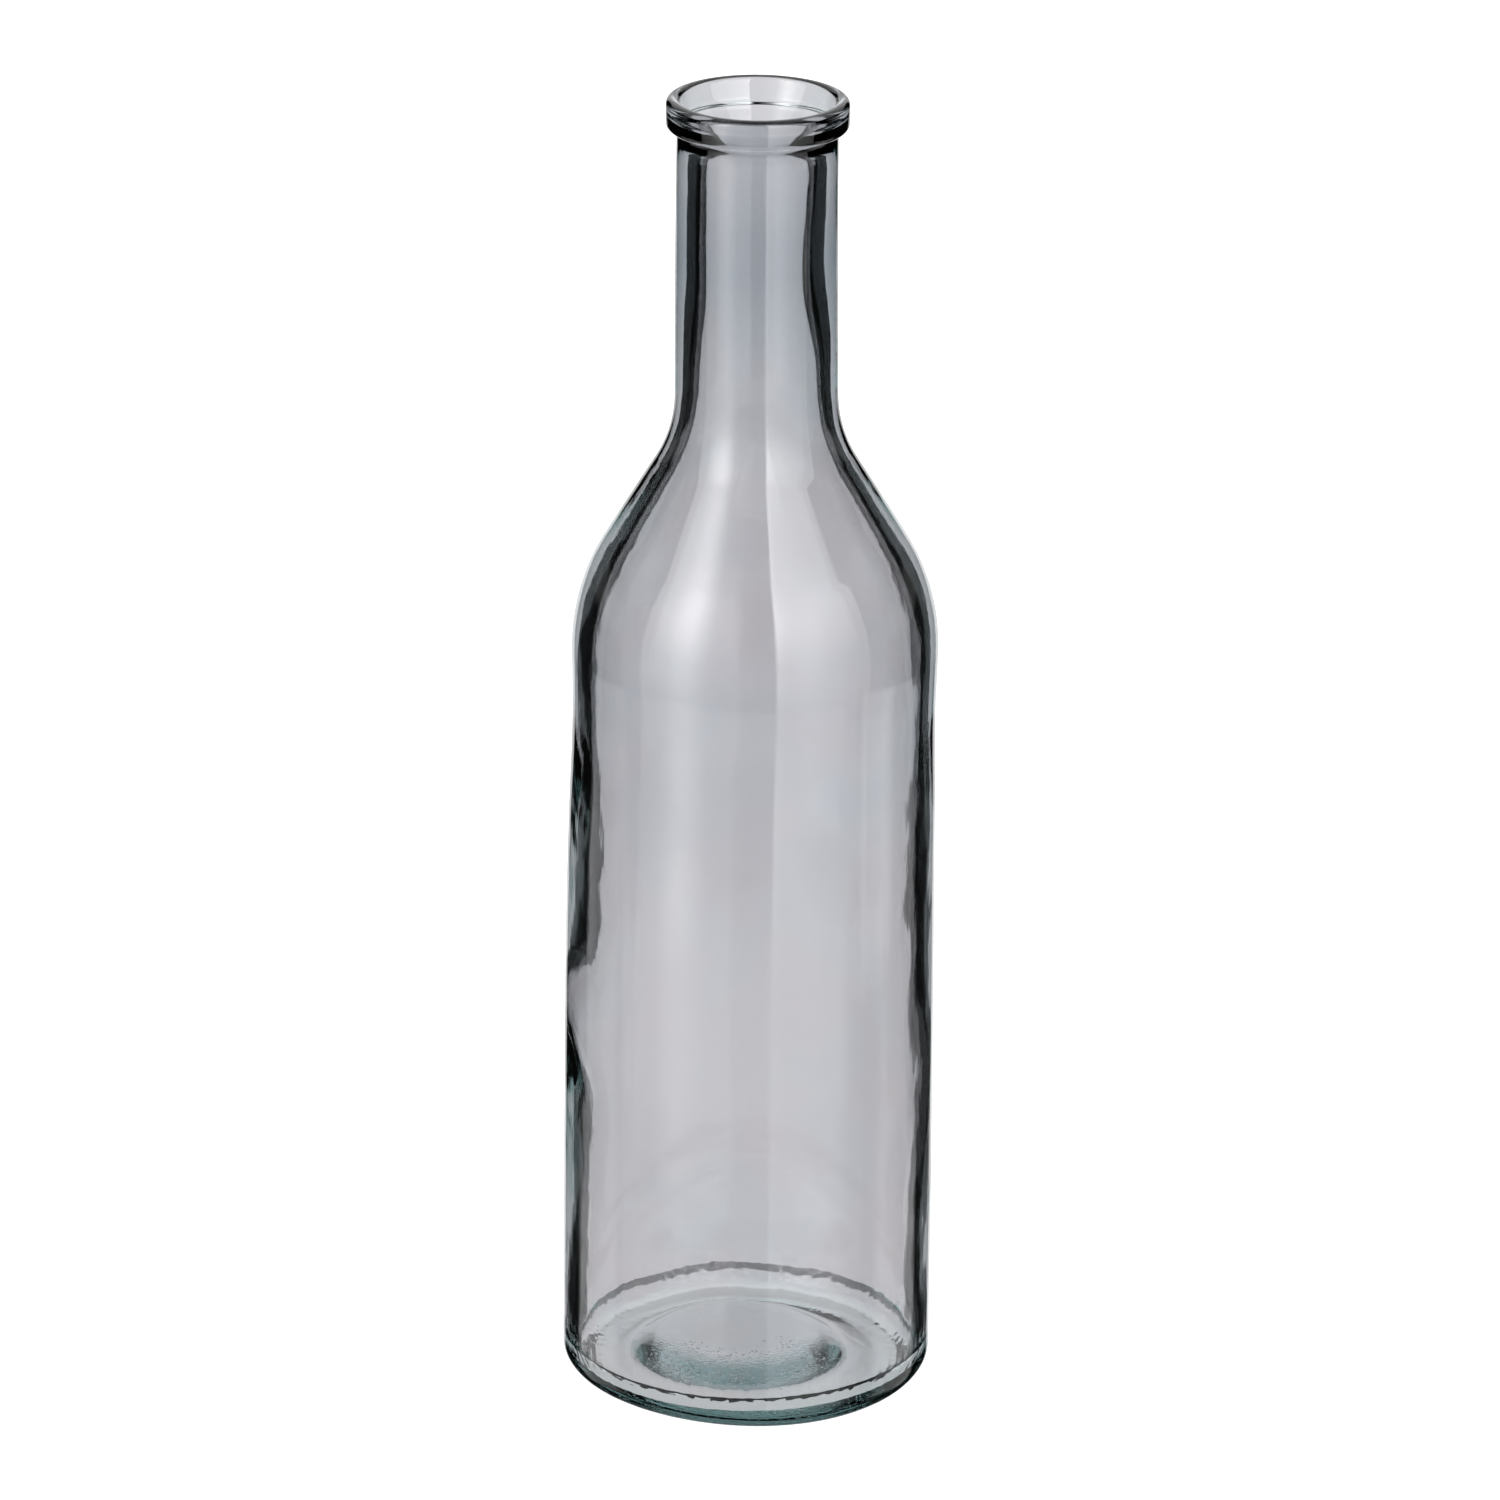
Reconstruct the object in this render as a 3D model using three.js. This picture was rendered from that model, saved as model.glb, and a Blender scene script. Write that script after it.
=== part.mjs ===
// Bottle vase in thick recycled glass, one closed body of revolution.
// Units are millimetres, +Z is up, the resting plane is z = 0 and the axis is x = y = 0.
import * as THREE from 'three';

// Outside of the straight body, as [radius, height] from the heel up
const HEIGHT = 500;
const BODY_RADIUS = 69.9;
const BODY_WALL = [[69.85, 60], [69.5, 140], [69.1, 184], [68.4, 226], [67.7, 252], [67.6, 268]];
const BODY_TOP_RADIUS = 68.1;
const BODY_TOP_Z = 289.6;

// Heel and foot
const HEEL_RADIUS = 9.3;
const FOOT_INNER_RADIUS = 51;
const PUSH_UP_RISE = 3;
const PUSH_UP_FLAT_RADIUS = 18;
const PUSH_UP_EDGE_RADIUS = 43;
const PUSH_UP_EDGE_Z = 0.8;

// Shoulder and neck
const CONE_ANGLE = THREE.MathUtils.degToRad(31.5);
const SHOULDER_ARC = 80;
const THROAT_ARC = 50;
const NECK_RADIUS_LOW = 30.1;
const NECK_RADIUS_TOP = 29.5;

// Lip and mouth
const LIP_RADIUS = 33.5;
const LIP_HEIGHT = 11.4;
const LIP_ROUND = 2.4;
const MOUTH_RADIUS = 28.5;
const MOUTH_ROUND = 2;
const MOUTH_FLARE = [[27.4, HEIGHT - 6], [25, HEIGHT - 11], [22, HEIGHT - 16], [21.2, HEIGHT - 22]];
const MOUTH_FLARE_DEPTH = 34;

// Inside of the glass
const NECK_BORE_RADIUS = 21;
const INNER_SHOULDER_RADIUS = 61.2;
const INNER_SHOULDER_Z = 288;
const INNER_SHOULDER_ARC = SHOULDER_ARC - 6.6;
const INNER_THROAT_ARC = THROAT_ARC + 9;
const INNER_WALL = [[61.2, 240], [62.2, 160], [63.4, 60]];
const FLOOR_Z = 6.5;
const INNER_HEEL = [[64, 15.5], [63.3, 13], [58.7, 7.5], [57.6, 6.8], [56, FLOOR_Z]];
const DOME_RADIUS = 41;
const DOME_RISE = 7;

const SEGMENTS = 64;

// Points along an arc. Angles are in degrees, counted from the +r direction towards +z.
function arc(centreR, centreZ, radius, fromDeg, toDeg, steps) {
  const points = [];
  for (let i = 0; i <= steps; i += 1) {
    const a = THREE.MathUtils.degToRad(fromDeg + ((toDeg - fromDeg) * i) / steps);
    points.push([centreR + radius * Math.cos(a), centreZ + radius * Math.sin(a)]);
  }
  return points;
}

// A shoulder made of a convex arc, a straight cone and a concave throat arc, from the body
// radius at startZ up to the neck radius. Returns the points in rising order.
function shoulder(bodyRadius, startZ, neckRadius, convex, concave, steps) {
  const turn = THREE.MathUtils.radToDeg(CONE_ANGLE);
  const coneTopRadius = neckRadius + concave * (1 - Math.cos(CONE_ANGLE));
  const coneLowRadius = bodyRadius - convex * (1 - Math.cos(CONE_ANGLE));
  const coneLowZ = startZ + convex * Math.sin(CONE_ANGLE);
  const coneTopZ = coneLowZ + (coneLowRadius - coneTopRadius) / Math.tan(CONE_ANGLE);
  const throatEndZ = coneTopZ + concave * Math.sin(CONE_ANGLE);
  const lower = arc(bodyRadius - convex, startZ, convex, 0, turn, steps);
  const upper = arc(neckRadius + concave, throatEndZ, concave, 180 + turn, 180, steps);
  return lower.concat(upper);
}

// Outside of the bottle, from the middle of the underside up to the top of the lip.
const lipFootZ = HEIGHT - LIP_HEIGHT;
const outside = [
  [0, PUSH_UP_RISE],
  [PUSH_UP_FLAT_RADIUS, PUSH_UP_RISE],
  [PUSH_UP_EDGE_RADIUS, PUSH_UP_EDGE_Z],
  [FOOT_INNER_RADIUS, 0],
  ...arc(BODY_RADIUS - HEEL_RADIUS, HEEL_RADIUS, HEEL_RADIUS, -90, 0, 5),
  ...BODY_WALL,
  ...shoulder(BODY_TOP_RADIUS, BODY_TOP_Z, NECK_RADIUS_LOW, SHOULDER_ARC, THROAT_ARC, 6),
  [NECK_RADIUS_TOP, lipFootZ],
  ...arc(LIP_RADIUS - LIP_ROUND, lipFootZ + LIP_ROUND, LIP_ROUND, -80, 0, 3),
  ...arc(LIP_RADIUS - LIP_ROUND, HEIGHT - LIP_ROUND, LIP_ROUND, 0, 85, 3),
];

// Inside of the bottle, from the mouth down to the middle of the floor.
const innerSlope = shoulder(
  INNER_SHOULDER_RADIUS,
  INNER_SHOULDER_Z,
  NECK_BORE_RADIUS,
  INNER_SHOULDER_ARC,
  INNER_THROAT_ARC,
  5,
);
const inside = [
  ...arc(MOUTH_RADIUS + MOUTH_ROUND, HEIGHT - MOUTH_ROUND, MOUTH_ROUND, 95, 165, 2),
  ...MOUTH_FLARE,
  [NECK_BORE_RADIUS, HEIGHT - MOUTH_FLARE_DEPTH],
  ...innerSlope.reverse(),
  ...INNER_WALL,
  ...INNER_HEEL,
  [DOME_RADIUS + 5, FLOOR_Z],
  [DOME_RADIUS, FLOOR_Z + 0.4],
  [DOME_RADIUS * 0.84, FLOOR_Z + DOME_RISE * 0.55],
  [DOME_RADIUS * 0.68, FLOOR_Z + DOME_RISE * 0.9],
  [DOME_RADIUS * 0.4, FLOOR_Z + DOME_RISE],
  [0, FLOOR_Z + DOME_RISE],
];

const profile = outside.concat(inside).map(([r, z]) => new THREE.Vector2(r, z));
const geometry = new THREE.LatheGeometry(profile, SEGMENTS);
geometry.rotateX(Math.PI / 2);

const glass = new THREE.MeshStandardMaterial({
  name: 'recycled_glass',
  color: 0xb9bcc2,
  roughness: 0.08,
  metalness: 0,
});

const body = new THREE.Mesh(geometry, glass);
body.name = 'glass_body';

const vase = new THREE.Group();
vase.name = 'bottle_vase';
vase.add(body);

export default vase;
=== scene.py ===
"""A tall bottle vase in thick recycled glass, with its studio and its camera. Metres, +Z up."""

import math
import random

import bmesh
import bpy
from mathutils import Matrix, Vector, noise


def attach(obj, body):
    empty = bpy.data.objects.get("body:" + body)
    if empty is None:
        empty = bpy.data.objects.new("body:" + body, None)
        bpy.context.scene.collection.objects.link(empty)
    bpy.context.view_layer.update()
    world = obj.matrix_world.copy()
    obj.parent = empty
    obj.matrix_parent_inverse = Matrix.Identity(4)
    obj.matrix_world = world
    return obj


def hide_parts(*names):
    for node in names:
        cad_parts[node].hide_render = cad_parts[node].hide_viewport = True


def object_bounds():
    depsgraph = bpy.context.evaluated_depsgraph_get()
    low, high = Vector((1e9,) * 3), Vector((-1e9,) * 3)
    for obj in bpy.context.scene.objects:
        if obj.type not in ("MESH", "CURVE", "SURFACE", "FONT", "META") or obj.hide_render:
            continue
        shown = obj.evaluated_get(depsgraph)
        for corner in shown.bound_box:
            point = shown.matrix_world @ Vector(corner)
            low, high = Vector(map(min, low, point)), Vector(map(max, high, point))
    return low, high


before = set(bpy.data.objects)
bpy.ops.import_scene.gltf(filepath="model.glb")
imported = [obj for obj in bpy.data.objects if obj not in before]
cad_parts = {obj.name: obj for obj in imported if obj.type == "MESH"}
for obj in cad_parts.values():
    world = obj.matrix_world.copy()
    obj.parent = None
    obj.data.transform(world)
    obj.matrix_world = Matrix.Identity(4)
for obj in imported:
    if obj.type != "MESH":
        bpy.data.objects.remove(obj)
cad_low, cad_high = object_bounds()

MM = 0.001
HEIGHT = cad_high.z / MM
BODY_RADIUS = (cad_high.x - cad_low.x) / 2 / MM

# Outside of the bottle, in millimetres: (radius, height) pairs and the radii of its arcs
FOOT_RING = (51.0, 60.6)
HEEL_ROUND = BODY_RADIUS - FOOT_RING[1]
PUSH_UP = 3.0
OUTER_WALL = ((BODY_RADIUS - 0.05, 60), (69.5, 140), (69.1, 184), (68.4, 226), (67.7, 252), (67.6, 268))
SHOULDER_FOOT = (68.1, 289.6)
CONE_ANGLE = math.radians(31.5)
SHOULDER_ARC = 80.0
THROAT_ARC = 50.0
NECK_LOW = 30.1
NECK_TOP = 29.5

# Lip ring
LIP_RADIUS = 33.5
LIP_HEIGHT = 11.4
LIP_ROUND = 2.4
MOUTH_RADIUS = 28.5
MOUTH_ROUND = 2.0
MOUTH_FLARE = ((27.4, HEIGHT - 6), (25.0, HEIGHT - 11), (22.0, HEIGHT - 16), (21.2, HEIGHT - 22))
FLARE_DEPTH = 34

# Inside of the bottle
INNER_SHOULDER_FOOT = (61.2, 288)
NECK_BORE = 21.0
INNER_WALL = ((61.2, 240), (62.2, 160), (63.4, 60), (64.0, 20))
FLOOR = 6.5
INNER_HEEL = ((64.0, 15.5), (63.9, 14.2), (63.3, 13.0), (58.7, 7.5), (57.8, 6.8), (56.0, FLOOR))
DOME = (
    (46.0, FLOOR), (41.0, FLOOR + 0.4), (34.4, FLOOR + 3.85), (27.9, FLOOR + 6.3), (16.4, FLOOR + 7), (0, FLOOR + 7)
)

# Unevenness: azimuth and height of each thin spot in the wall, its half-spread, its reach and its depth
THIN_SPOTS = (
    (180, 146, 50, 30, 2.9),
    (180, 222, 50, 75, -0.6),
    (180, 98, 45, 48, -0.5),
    (0, 108, 45, 50, 0.7),
    (180, 320, 60, 45, -0.7),
    (0, 305, 50, 62, -0.6),
    (0, 438, 60, 38, -0.8),
    (0, 390, 60, 50, 1.2),
    (180, 385, 60, 50, 1.0),
)
SHOULDER_BEND = 1.0
BEND_HEIGHT = 315
BEND_REACH = 150

# The dome of the floor lies a little to one side
DOME_SHIFT = 3.0

# The heel sags on one side: azimuth and half-spread, the height that it reaches and its rise
HEEL_RISE = (232, 75, 26, 1.5)

# The grey stain outside starts above the foot and is deepest on the neck: (height, depth) pairs
STAIN = (
    (0, 0), (4, 0.7), (200, 0.7), (245, 0.79), (290, 0.79), (320, 0.71), (340, 0.7), (395, 0.8),
    (440, 1.0), (475, 0.85),
)

# Wrinkles where the inside of the wall meets the floor: lowest and highest point, reach and depth
WRINKLES = (5.0, 16.0, 2.0, 0.5)
WRINKLE_SIZE = 2.2

# Seeds, the small bubbles in the floor: how many, and the bounds of their radius from the axis,
# azimuth and size
SEED_COUNT = 420
SEED_RING = (12, 42)
SEED_SIDE = (-168, -12)
SEED_SIZE = (0.3, 0.7)

SPIN_STEPS = 360
WALL_STEP = 4.0

# Camera: pitched down on the middle of the bottle
CAMERA_DISTANCE = 3.017
CAMERA_PITCH = math.radians(20.27)
CAMERA_LENS = 194.4
CAMERA_ROLL = math.radians(0.56)

# Light tent
TENT_RADIUS = 1.6
# Half-width of the white backdrop: (elevation, angle) pairs
WHITE_HALF_ANGLE = ((-21, 21), (-17, 25), (-10, 25), (-7, 21), (-4, 20))
DARK = 0.006
# Two upright soft boxes in front: (azimuth, brightness) pairs, and the share of it at each elevation
LEFT_BOX = ((-74.5, 0), (-73.5, 1.2), (-60, 2.1), (-50, 3.6), (-42, 3.6), (-35, 2.2), (-28, 0.9), (-12, 0.3), (0, 0))
LEFT_HEIGHT = (
    (-40, 0), (-27, 0.08), (-24.3, 0.28), (-21.7, 0.24), (-20.5, 0.6), (-19, 0.65), (-17, 0.5), (3, 0.9),
    (15, 1.5), (25, 1.8), (36, 1.8), (43, 1.0), (60, 0.55), (85, 0),
)
RIGHT_BOX = ((12.5, 0), (13.5, 3.4), (20, 2.8), (33, 2.3), (49, 1.7), (65, 1.35), (74, 1.1), (75, 0))
RIGHT_HEIGHT = (
    (-40, 0), (-35, 0.24), (-21.5, 0.22), (-20.5, 0.5), (-17, 0.65), (3, 0.85), (15, 1.35),
    (25, 1.7), (38, 1.7), (43, 1.4), (60, 0.7), (85, 0),
)
RIGHT_EDGE = ((30, 75), (40, 60))

# The table in front: (elevation, brightness) pairs
TABLE = ((-37, 0), (-33, 0.5), (-26, 0.5), (-25.2, 0.9), (-21.8, 0.9), (-20.5, 0.4), (-19.3, 0))


def arc(centre_r, centre_z, radius, start, end, steps):
    """Points on an arc, its angles in degrees from outwards towards up."""
    angles = [math.radians(start + (end - start) * i / steps) for i in range(steps + 1)]
    return [(centre_r + radius * math.cos(a), centre_z + radius * math.sin(a)) for a in angles]


def shoulder(foot, neck_radius, convex, concave, steps):
    """A convex arc, a straight cone and a concave throat, from the body up to the neck."""
    radius, height = foot
    turn = math.degrees(CONE_ANGLE)
    cone_low = radius - convex * (1 - math.cos(CONE_ANGLE))
    cone_top = neck_radius + concave * (1 - math.cos(CONE_ANGLE))
    cone_low_z = height + convex * math.sin(CONE_ANGLE)
    cone_top_z = cone_low_z + (cone_low - cone_top) / math.tan(CONE_ANGLE)
    throat_z = cone_top_z + concave * math.sin(CONE_ANGLE)
    lower = arc(radius - convex, height, convex, 0, turn, steps)
    upper = arc(neck_radius + concave, throat_z, concave, 180 + turn, 180, steps)
    return lower + upper


def smooth_line(points, step):
    """A flowing line through a few points (Catmull-Rom), with a point about every step."""
    ends = [points[0], *points, points[-1]]
    line = []
    for a, b, c, d in zip(ends, ends[1:], ends[2:], ends[3:]):
        count = max(1, round(math.dist(b, c) / step))
        for i in range(count):
            t = i / count
            weights = (
                (-t + 2 * t**2 - t**3) / 2,
                (2 - 5 * t**2 + 3 * t**3) / 2,
                (t + 4 * t**2 - 3 * t**3) / 2,
                (t**3 - t**2) / 2,
            )
            line.append(tuple(sum(w * p[k] for w, p in zip(weights, (a, b, c, d))) for k in (0, 1)))
    return line + [points[-1]]


def along(pairs, place):
    """The value at a place on a line of (place, value) pairs, which keeps its end values outside."""
    for (low, value), (high, next_value) in zip(pairs, pairs[1:]):
        if place <= high:
            t = min(1.0, max(0.0, (place - low) / (high - low)))
            return value + (next_value - value) * t
    return pairs[-1][1]


def outer_profile():
    foot_in, foot_out = FOOT_RING
    underside = smooth_line(((0, PUSH_UP), (20, PUSH_UP - 0.2), (40, 1.2), (foot_in, 0)), WALL_STEP)
    heel = arc(foot_out, HEEL_ROUND, HEEL_ROUND, -90, 0, 10)
    wall = smooth_line((heel[-1], *OUTER_WALL, SHOULDER_FOOT), WALL_STEP)
    slope = shoulder(SHOULDER_FOOT, NECK_LOW, SHOULDER_ARC, THROAT_ARC, 14)
    lip_foot = HEIGHT - LIP_HEIGHT
    neck = smooth_line((slope[-1], (NECK_TOP, lip_foot)), WALL_STEP)
    lip = arc(LIP_RADIUS - LIP_ROUND, lip_foot + LIP_ROUND, LIP_ROUND, -80, 0, 5)
    lip += arc(LIP_RADIUS - LIP_ROUND, HEIGHT - LIP_ROUND, LIP_ROUND, 0, 85, 5)
    return underside + [(foot_out - 4, 0)] + heel + wall[1:] + slope[1:] + neck[1:] + lip


def inner_profile():
    edge = MOUTH_RADIUS + MOUTH_ROUND
    mouth = arc(edge, HEIGHT - MOUTH_ROUND, MOUTH_ROUND, 95, 165, 5)
    flare = smooth_line((mouth[-1], *MOUTH_FLARE, (NECK_BORE, HEIGHT - FLARE_DEPTH)), 2.0)
    slope = shoulder(INNER_SHOULDER_FOOT, NECK_BORE, SHOULDER_ARC - 6.6, THROAT_ARC + 9, 12)[::-1]
    neck = smooth_line((flare[-1], slope[0]), WALL_STEP)
    heel = smooth_line(INNER_HEEL, 0.8)
    wall = smooth_line((slope[-1], *INNER_WALL, heel[0]), WALL_STEP)
    dome = smooth_line((heel[-1], *DOME), 1.6)
    return mouth[:-1] + flare + neck[1:] + slope[1:] + wall[1:] + heel[1:] + dome[1:]


def spin_bottle(name, outside, inside):
    """Spins the two profiles, which meet at the lip and end on the axis, into one hollow bottle."""
    shape = bmesh.new()
    shape.verts.layers.float.new("stain")
    shape.verts.layers.float.new("inside")
    shape.verts.layers.float.new("pitted")
    stain, inner = shape.verts.layers.float["stain"], shape.verts.layers.float["inside"]
    corners = [shape.verts.new((r * MM, 0, z * MM)) for r, z in outside + inside]
    for corner in corners[len(outside):]:
        corner[inner] = 1
    for corner, (_, z) in zip(corners, outside):
        corner[stain] = along(STAIN, z)
    edges = [shape.edges.new(pair) for pair in zip(corners, corners[1:])]
    bmesh.ops.spin(
        shape,
        geom=corners + edges,
        cent=(0, 0, 0),
        axis=(0, 0, 1),
        angle=math.tau,
        steps=SPIN_STEPS,
        use_merge=True,
    )
    bmesh.ops.remove_doubles(shape, verts=shape.verts, dist=0.01 * MM)
    bmesh.ops.recalc_face_normals(shape, faces=shape.faces)
    for face in shape.faces:
        face.smooth = True
    mesh = bpy.data.meshes.new(name)
    shape.to_mesh(mesh)
    shape.free()
    piece = bpy.data.objects.new(name, mesh)
    bpy.context.collection.objects.link(piece)
    return piece


def hump(distance, reach):
    """1 at the middle, falling smoothly to 0 at the reach."""
    x = min(1.0, abs(distance) / reach)
    return (1 + math.cos(math.pi * x)) / 2


def wall_ripple(azimuth, height):
    """How far the inside of the wall lies out from its true radius, in millimetres."""
    angle = math.radians(azimuth)
    place = Vector((math.cos(angle), math.sin(angle), 0))
    broad = noise.noise(place * 1.1 + Vector((0, 0, height / 95)))
    swell = noise.noise(place * 2.3 + Vector((7, 3, height / 40)))
    fine = noise.noise(place * 7 + Vector((1, 5, height / 11)))
    calm = 1 - 0.75 * min(1.0, max(0.0, (height - 300) / 60))
    return (0.5 * broad + 0.25 * swell + 0.06 * fine) * calm


def wrinkle(vert):
    """How far a point of the crease between wall and floor is pushed about, as a vector in millimetres."""
    low, high, soft, depth = WRINKLES
    place = vert / MM
    radius = math.hypot(place.x, place.y)
    level = window(place.z, low, high, soft, soft) * min(1.0, max(0.0, radius - 54)) * (0.35 + 0.65 * max(0.0, place.y / radius))
    return depth * level * noise.noise_vector(place / WRINKLE_SIZE)


def heel_rise(azimuth, radius, height):
    """How far the heel lies above its true place, in millimetres."""
    middle, spread, reach, rise = HEEL_RISE
    turn = (azimuth - middle + 180) % 360 - 180
    return rise * hump(turn, spread) * hump(height, reach) * min(1.0, max(0.0, (radius - 55) / 10))


def shape_glass(piece):
    """Gives the inside of the wall its uneven thickness and bends the shoulder a little to one side."""
    for vert in piece.data.vertices:
        radius = math.hypot(vert.co.x, vert.co.y)
        height = vert.co.z / MM
        inside = piece.data.attributes["inside"].data[vert.index].value > 0.5
        if radius > 1 * MM and inside:
            azimuth = math.degrees(math.atan2(vert.co.y, vert.co.x))
            out = wall_ripple(azimuth, height)
            for spot_azimuth, spot_height, spread, reach, depth in THIN_SPOTS:
                turn = (azimuth - spot_azimuth + 180) % 360 - 180
                out += depth * hump(turn, spread) * hump(height - spot_height, reach)
            fade = min(1.0, max(0.0, (height - 14) / 20)) * min(1.0, (HEIGHT - height) / 10)
            grow = 1 + out * fade * MM / radius
            push = wrinkle(vert.co) * MM
            vert.co.x *= grow
            vert.co.y *= grow
            vert.co += push
            pits = hump(radius / MM - 28, 9) * min(1.0, max(0.0, -vert.co.y / (12 * MM))) * (height < 15)
            piece.data.attributes["pitted"].data[vert.index].value = pits
        elif radius > 1 * MM:
            azimuth = math.degrees(math.atan2(vert.co.y, vert.co.x))
            vert.co.z += heel_rise(azimuth, radius / MM, height) * MM
        if inside and height < 15:
            vert.co.x -= DOME_SHIFT * MM * window(radius / MM, -1, 43, 1, 13)
        vert.co.x += SHOULDER_BEND * MM * hump(height - BEND_HEIGHT, BEND_REACH)


def add_seeds(piece):
    """Adds small bubbles to the floor of the bottle. Each is a hollow, so its faces point inwards."""
    draw = random.Random(11)
    shape = bmesh.new()
    shape.from_mesh(piece.data)
    for _ in range(SEED_COUNT):
        ring = draw.triangular(*SEED_RING, 32)
        side = math.radians(draw.uniform(*SEED_SIDE))
        height = draw.uniform(4.5, along(DOME[::-1], ring) - 1.2)
        middle = Vector((ring * math.cos(side) - DOME_SHIFT, ring * math.sin(side), height)) * MM
        size = draw.triangular(*SEED_SIZE, SEED_SIZE[0]) * MM
        seed = bmesh.ops.create_icosphere(
            shape, subdivisions=1, radius=size, matrix=Matrix.Translation(middle)
        )
        faces = {face for vert in seed["verts"] for face in vert.link_faces}
        bmesh.ops.reverse_faces(shape, faces=list(faces))
        for face in faces:
            face.smooth = True
    shape.to_mesh(piece.data)
    shape.free()


def noise_height(nodes, links, place, scale, detail):
    """A noise texture over the place given, its features about 1 / scale metres across."""
    grain = nodes.new("ShaderNodeTexNoise")
    grain.inputs["Scale"].default_value = scale
    grain.inputs["Detail"].default_value = detail
    links.new(place, grain.inputs["Vector"])
    return grain.outputs["Fac"]


def add_bump(nodes, links, height, depth, before=None):
    """A bump of the depth given in millimetres, on top of the normal before it."""
    bump = nodes.new("ShaderNodeBump")
    bump.inputs["Strength"].default_value = 1.0
    bump.inputs["Distance"].default_value = depth * MM
    links.new(height, bump.inputs["Height"])
    if before:
        links.new(before, bump.inputs["Normal"])
    return bump.outputs["Normal"]


def glass_material():
    mat = bpy.data.materials.new("recycled glass")
    mat.use_nodes = True
    nodes, links = mat.node_tree.nodes, mat.node_tree.links
    shader = nodes["Principled BSDF"]
    tint = nodes.new("ShaderNodeValToRGB")
    shades = tint.color_ramp.elements
    shades[0].color = (1, 1, 1, 1)
    shades[1].color = (0.42, 0.42, 0.465, 1)
    shades.new(0.7).color = (0.66, 0.61, 0.64, 1)
    stain = nodes.new("ShaderNodeAttribute")
    stain.attribute_name = "stain"
    links.new(stain.outputs["Fac"], tint.inputs["Fac"])

    place = nodes.new("ShaderNodeTexCoord").outputs["Object"]
    drawn = nodes.new("ShaderNodeMapping")
    drawn.inputs["Scale"].default_value = (1, 1, 0.3)
    links.new(place, drawn.inputs["Vector"])
    patch = nodes.new("ShaderNodeValToRGB")
    patch.color_ramp.elements[0].position = 0.35
    patch.color_ramp.elements[0].color = (1.0, 0.98, 0.985, 1)
    patch.color_ramp.elements[1].position = 0.65
    patch.color_ramp.elements[1].color = (0.97, 0.99, 1.0, 1)
    links.new(noise_height(nodes, links, place, 22, 2), patch.inputs["Fac"])
    uneven = nodes.new("ShaderNodeMix")
    uneven.data_type = "RGBA"
    uneven.blend_type = "MULTIPLY"
    uneven.inputs["Factor"].default_value = 1
    links.new(tint.outputs["Color"], uneven.inputs["A"])
    links.new(patch.outputs["Color"], uneven.inputs["B"])
    links.new(uneven.outputs["Result"], shader.inputs["Base Color"])

    marks = nodes.new("ShaderNodeMapRange")
    marks.inputs["From Min"].default_value = 0.5
    marks.inputs["From Max"].default_value = 0.75
    marks.inputs["To Max"].default_value = 0.04
    links.new(noise_height(nodes, links, place, 60, 5), marks.inputs["Value"])
    inside = nodes.new("ShaderNodeAttribute")
    inside.attribute_name = "inside"
    marks_inside = nodes.new("ShaderNodeMath")
    marks_inside.operation = "MULTIPLY"
    links.new(marks.outputs["Result"], marks_inside.inputs[0])
    links.new(inside.outputs["Fac"], marks_inside.inputs[1])
    links.new(marks_inside.outputs["Value"], shader.inputs["Roughness"])

    wrinkled = nodes.new("ShaderNodeMath")
    wrinkled.operation = "MULTIPLY"
    links.new(noise_height(nodes, links, drawn.outputs["Vector"], 330, 2), wrinkled.inputs[0])
    links.new(inside.outputs["Fac"], wrinkled.inputs[1])
    rippled = add_bump(nodes, links, noise_height(nodes, links, drawn.outputs["Vector"], 40, 0), 0.03)
    normal = add_bump(nodes, links, wrinkled.outputs["Value"], 0.022, rippled)
    pitted = nodes.new("ShaderNodeAttribute")
    pitted.attribute_name = "pitted"
    pits = nodes.new("ShaderNodeMath")
    pits.operation = "MULTIPLY"
    links.new(noise_height(nodes, links, place, 1300, 1), pits.inputs[0])
    links.new(pitted.outputs["Fac"], pits.inputs[1])
    normal = add_bump(nodes, links, pits.outputs["Value"], 0.45, normal)
    links.new(normal, shader.inputs["Normal"])
    shader.inputs["IOR"].default_value = 1.5
    shader.inputs["Transmission Weight"].default_value = 1.0
    absorb = nodes.new("ShaderNodeVolumeAbsorption")
    absorb.inputs["Color"].default_value = (0.35, 0.59, 0.58, 1)
    absorb.inputs["Density"].default_value = 20.0
    links.new(absorb.outputs["Volume"], nodes["Material Output"].inputs["Volume"])
    return mat


def add_camera():
    data = bpy.data.cameras.new("camera")
    data.lens = CAMERA_LENS
    data.sensor_width = 36
    camera = bpy.data.objects.new("camera", data)
    bpy.context.collection.objects.link(camera)
    bpy.context.scene.camera = camera
    target = Vector((-0.0006, 0, HEIGHT * MM / 2 - 0.0016))
    back = Vector((0, -math.cos(CAMERA_PITCH), math.sin(CAMERA_PITCH)))
    turn = (-back).to_track_quat("-Z", "Y").to_matrix() @ Matrix.Rotation(CAMERA_ROLL, 3, "Z")
    camera.matrix_world = Matrix.Translation(target + back * CAMERA_DISTANCE) @ turn.to_4x4()
    return camera


def window(value, low, high, soft_low, soft_high):
    """1 between low and high, falling smoothly to 0 within the soft widths outside them."""
    rise = (value - low) / soft_low + 1
    fall = (high - value) / soft_high + 1
    edges = [min(1.0, max(0.0, x)) for x in (rise, fall)]
    return math.prod(x * x * (3 - 2 * x) for x in edges)


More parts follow.
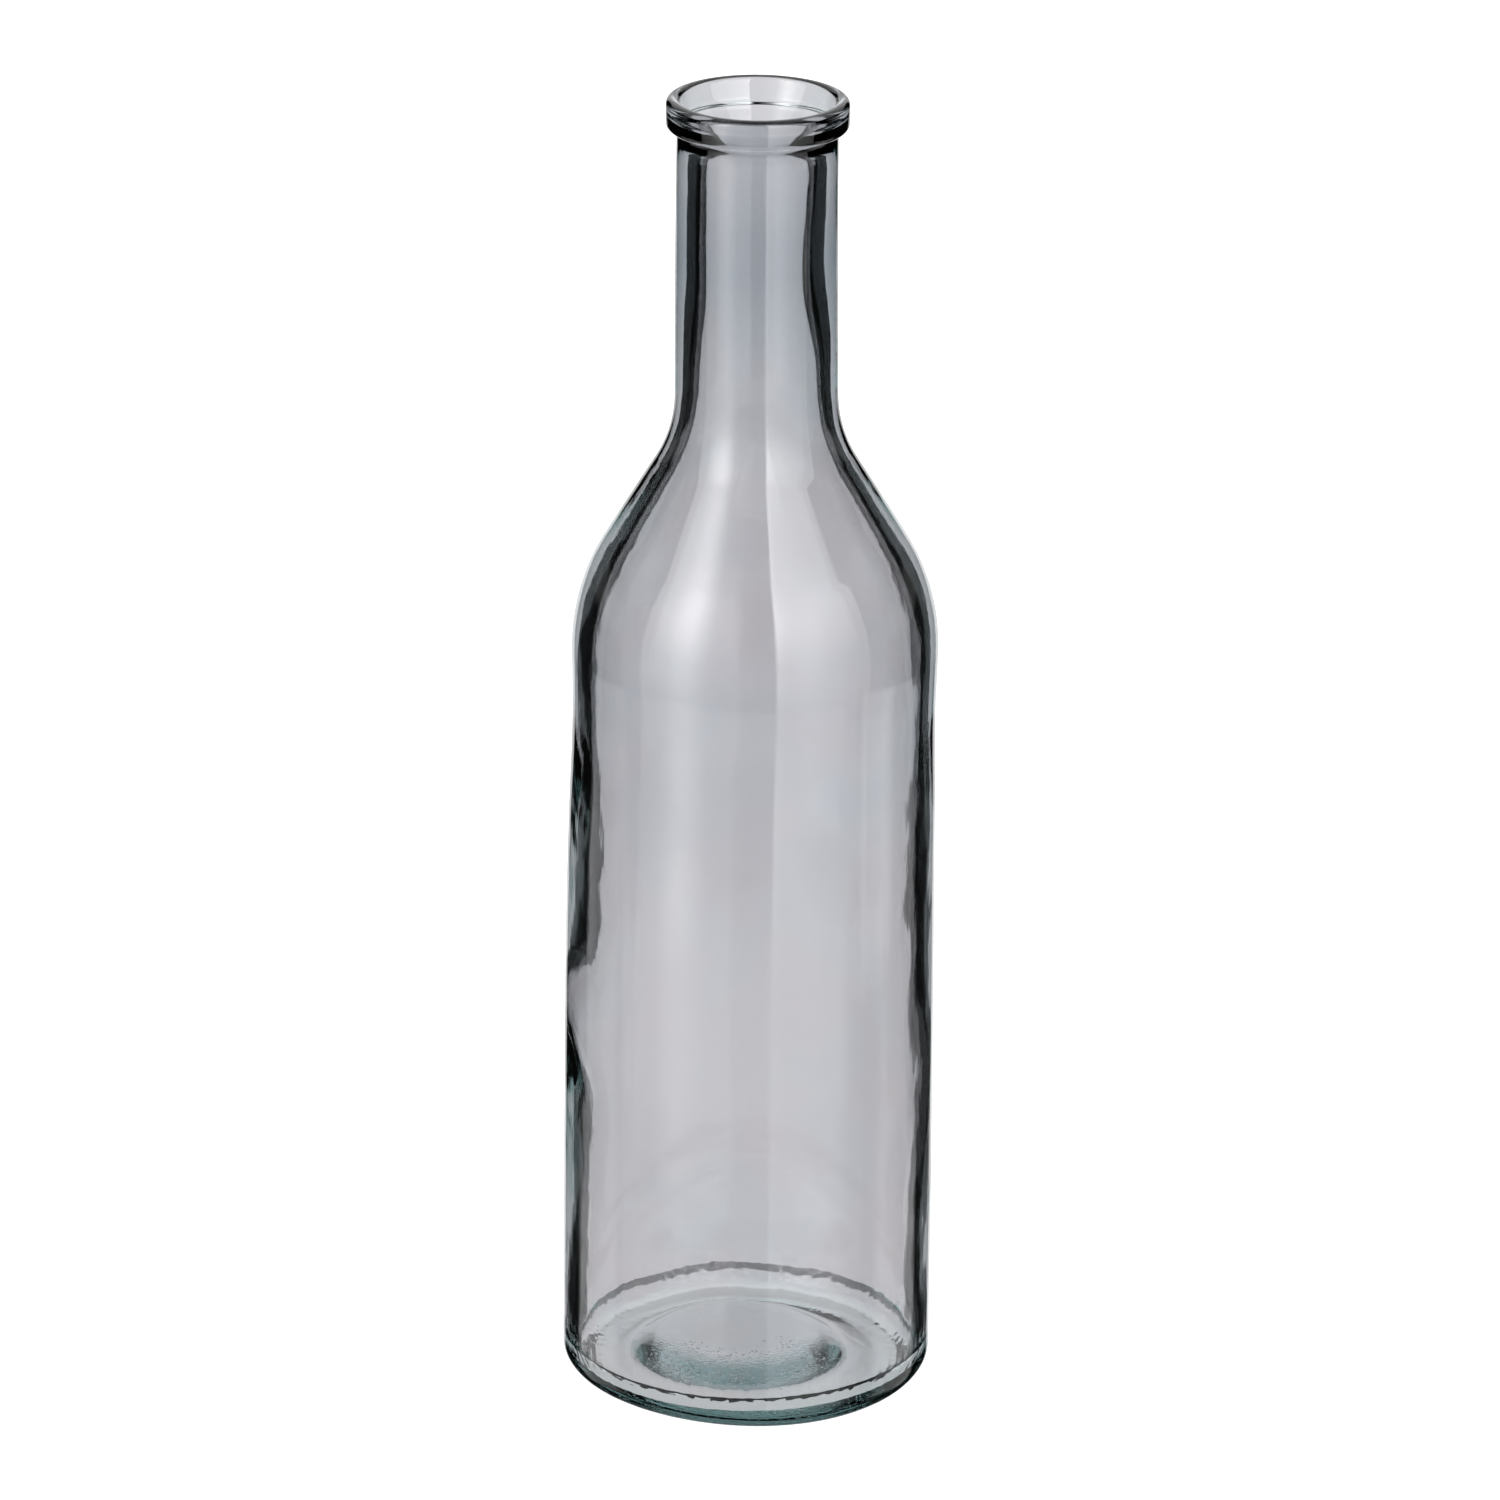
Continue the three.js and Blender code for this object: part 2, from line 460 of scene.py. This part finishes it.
def tent_glow(azimuth, elevation):
    """Brightness of the tent. Azimuth 0 is towards the camera, 90 is the bottle's right side, 180 behind."""
    half = along(WHITE_HALF_ANGLE, elevation)
    dim = 0.35 + 0.65 * window(elevation, -41, 50, 2, 5)
    behind = dim * window(abs(azimuth), 180 - half, 200, 1.5, 1) * window(elevation, -55, 50, 4, 5)
    ceiling = 0.8 * window(abs(azimuth), 95, 200, 10, 1) * window(elevation, 32, 70, 8, 10)
    lobes = 0.2 * window(abs(azimuth), 98, 130, 8, 8) * window(elevation, 2, 8, 3, 3)
    table = window(azimuth, -80, 55, 8, 14) * along(TABLE, elevation)
    wash = window(azimuth, 75, 92, 8, 8) * window(elevation, -21.5, -19, 1.5, 4)
    sides = 0.6 * window(abs(azimuth), 93, 116, 10, 6) * window(elevation, -30, -18.5, 4, 1.5)
    low_sides = 0.8 * window(abs(azimuth), 92, 124, 10, 6) * window(elevation, -42, -29, 4, 3)
    left = along(LEFT_BOX, azimuth) * along(LEFT_HEIGHT, elevation)
    right = along(RIGHT_BOX, azimuth) * along(RIGHT_HEIGHT, elevation)
    right *= window(azimuth, 0, along(RIGHT_EDGE, elevation), 1, 1.5)
    return max(behind, ceiling) + lobes + max(sides, low_sides) + table + left + right + wash + DARK


def add_tent(camera):
    """A shell of light round the bottle, which turns with the camera as if the bottle stood on a turntable."""
    shape = bmesh.new()
    glow = shape.verts.layers.float.new("glow")
    bmesh.ops.create_uvsphere(shape, u_segments=360, v_segments=180, radius=TENT_RADIUS)
    for vert in shape.verts:
        x, y, z = vert.co
        azimuth = math.degrees(math.atan2(x, -y))
        vert[glow] = tent_glow(azimuth, math.degrees(math.atan2(z, math.hypot(x, y))))
    bmesh.ops.translate(shape, vec=(0, 0, HEIGHT * MM / 2), verts=shape.verts)
    mesh = bpy.data.meshes.new("light tent")
    shape.to_mesh(mesh)
    shape.free()
    tent = bpy.data.objects.new("light tent", mesh)
    bpy.context.collection.objects.link(tent)
    tent.parent = camera
    tent.matrix_parent_inverse = camera.matrix_world.inverted()
    tent.visible_camera = False
    tent.visible_diffuse = False
    tent.visible_shadow = False
    mat = bpy.data.materials.new("tent light")
    mat.use_nodes = True
    nodes, links = mat.node_tree.nodes, mat.node_tree.links
    nodes.remove(nodes["Principled BSDF"])
    light = nodes.new("ShaderNodeEmission")
    level = nodes.new("ShaderNodeAttribute")
    level.attribute_name = "glow"
    links.new(level.outputs["Fac"], light.inputs["Strength"])
    links.new(light.outputs["Emission"], nodes["Material Output"].inputs["Surface"])
    mesh.materials.append(mat)


def add_table_disc():
    """The pale table right under the foot, seen only through the glass."""
    shape = bmesh.new()
    bmesh.ops.create_circle(shape, cap_ends=True, segments=64, radius=61.5 * MM)
    bmesh.ops.translate(shape, vec=(0, 0, -0.6 * MM), verts=shape.verts)
    mesh = bpy.data.meshes.new("table under the foot")
    shape.to_mesh(mesh)
    shape.free()
    disc = bpy.data.objects.new("table under the foot", mesh)
    bpy.context.collection.objects.link(disc)
    mat = bpy.data.materials.new("table under the foot")
    mat.use_nodes = True
    nodes, links = mat.node_tree.nodes, mat.node_tree.links
    nodes.remove(nodes["Principled BSDF"])
    light = nodes.new("ShaderNodeEmission")
    light.inputs["Strength"].default_value = 0.75
    links.new(light.outputs["Emission"], nodes["Material Output"].inputs["Surface"])
    mesh.materials.append(mat)
    disc.visible_camera = False
    disc.visible_diffuse = False
    disc.visible_shadow = False


def add_floor():
    """A pale round floor that curves up into a wall, seen by the camera but not through the glass."""
    shape = bmesh.new()
    profile = [(0, 0), (3000, 0), *arc(5000, 2000, 2000, -90, 0, 24), (7000, 9000)]
    corners = [shape.verts.new((r * MM, 0, z * MM)) for r, z in profile]
    edges = [shape.edges.new(pair) for pair in zip(corners, corners[1:])]
    bmesh.ops.spin(
        shape, geom=corners + edges, cent=(0, 0, 0), axis=(0, 0, 1), angle=math.tau, steps=96, use_merge=True
    )
    bmesh.ops.remove_doubles(shape, verts=shape.verts, dist=MM)
    for face in shape.faces:
        face.smooth = True
    mesh = bpy.data.meshes.new("floor")
    shape.to_mesh(mesh)
    shape.free()
    floor = bpy.data.objects.new("floor", mesh)
    bpy.context.collection.objects.link(floor)
    mat = bpy.data.materials.new("pale floor")
    mat.use_nodes = True
    shader = mat.node_tree.nodes["Principled BSDF"]
    shader.inputs["Base Color"].default_value = (0.8, 0.8, 0.8, 1)
    shader.inputs["Roughness"].default_value = 0.9
    shader.inputs["Specular IOR Level"].default_value = 0.0
    shader.inputs["Emission Color"].default_value = (1, 1, 1, 1)
    shader.inputs["Emission Strength"].default_value = 0.85
    mesh.materials.append(mat)
    floor.visible_glossy = False
    floor.visible_transmission = False


def main():
    camera = add_camera()
    bottle = spin_bottle("bottle", outer_profile(), inner_profile())
    shape_glass(bottle)
    add_seeds(bottle)
    bottle.data.materials.append(glass_material())
    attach(bottle, "root")
    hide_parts("glass_body")

    add_floor()
    add_tent(camera)
    add_table_disc()

    scene = bpy.context.scene
    scene.view_settings.view_transform = "Standard"
    scene.cycles.max_bounces = 24
    scene.cycles.glossy_bounces = 16
    scene.cycles.transmission_bounces = 24
    world = bpy.data.worlds.new("dark studio")
    scene.world = world
    world.use_nodes = True
    world.node_tree.nodes["Background"].inputs["Color"].default_value = (0.02, 0.02, 0.02, 1)


main()
